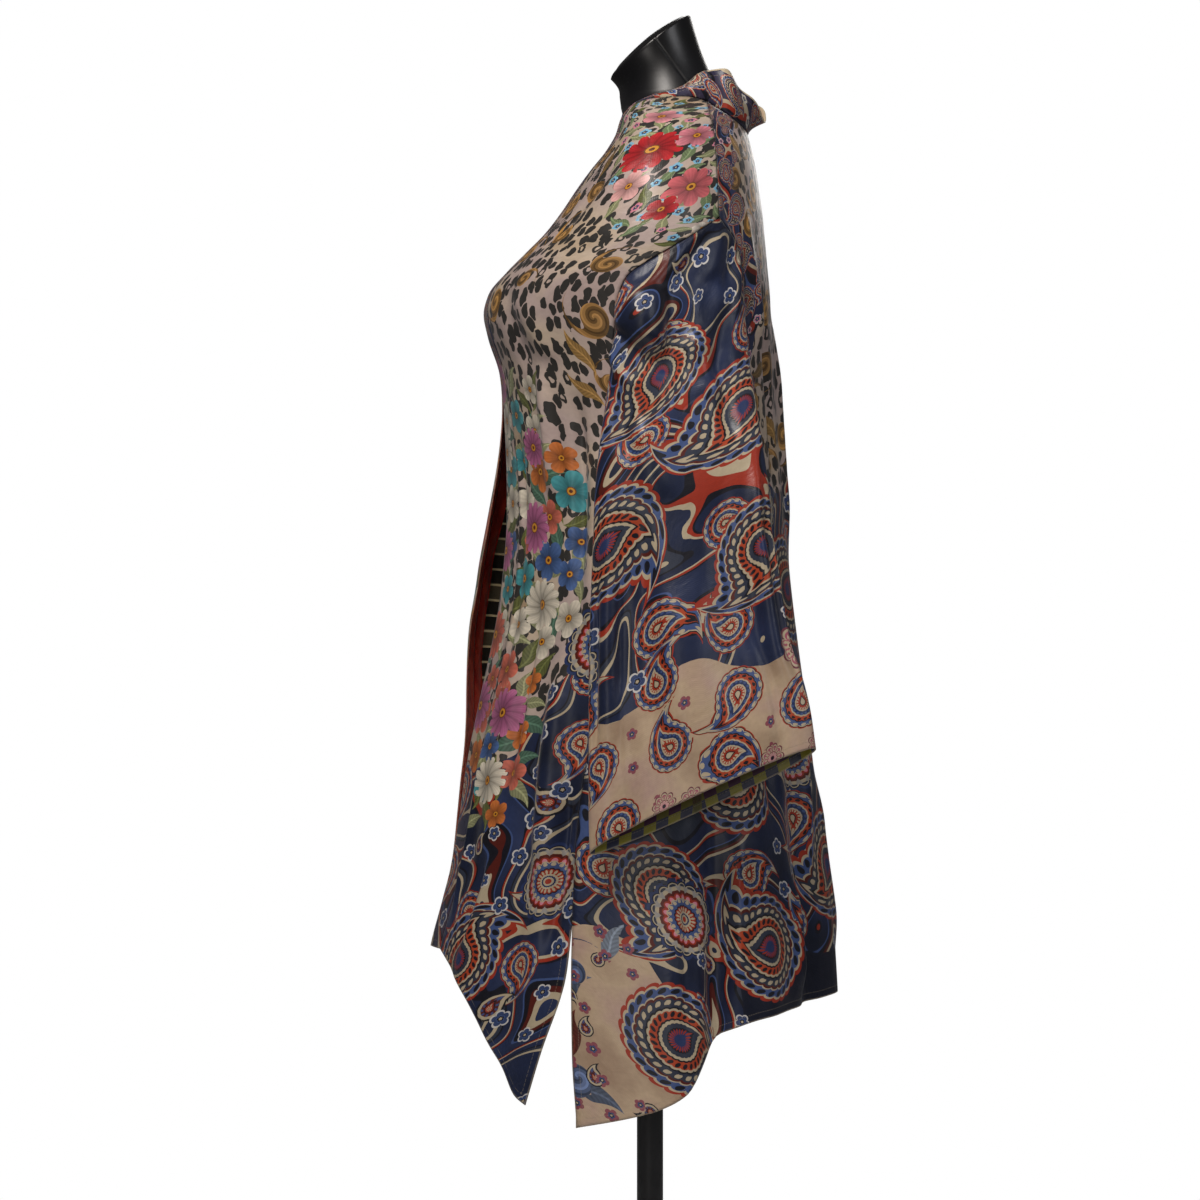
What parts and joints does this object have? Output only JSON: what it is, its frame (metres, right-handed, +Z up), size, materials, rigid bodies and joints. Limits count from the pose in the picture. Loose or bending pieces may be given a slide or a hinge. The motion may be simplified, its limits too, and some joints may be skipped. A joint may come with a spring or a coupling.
{
  "type": "kimono cardigan on a dress form",
  "caption": "Open-fronted printed silk kimono cardigan with wide sleeves and side slits, worn by a limbless black dress form on a round stand.",
  "frame": {"origin": "centre of the stand base's underside, on the floor", "axes": "+Z up along the stand's pole, -Y the way the wearer faces, +X the wearer's left"},
  "size_m": [0.59, 0.4283, 1.4949],
  "materials": {
    "silk_front": "satin-faced printed silk, cream leopard ground with flowers over a navy paisley border",
    "silk_back": "satin-faced printed silk, leopard ground over navy and cream paisley",
    "silk_sleeve": "satin-faced printed silk, navy paisley over a cream border with medallions",
    "silk_band": "satin-faced printed silk band, paisley outside and red satin inside",
    "form_gloss": "smooth black gloss moulding",
    "stand_metal": "black powder coat"
  },
  "bodies": {
    "root": {"back_panel": "silk_back", "front_left": "silk_front", "front_right": "silk_front", "neckband": "silk_band", "sleeve_left": "silk_sleeve", "sleeve_right": "silk_sleeve", "form_torso": "form_gloss", "stand_pole": "stand_metal", "stand_base": "stand_metal"}
  },
  "joints": []
}
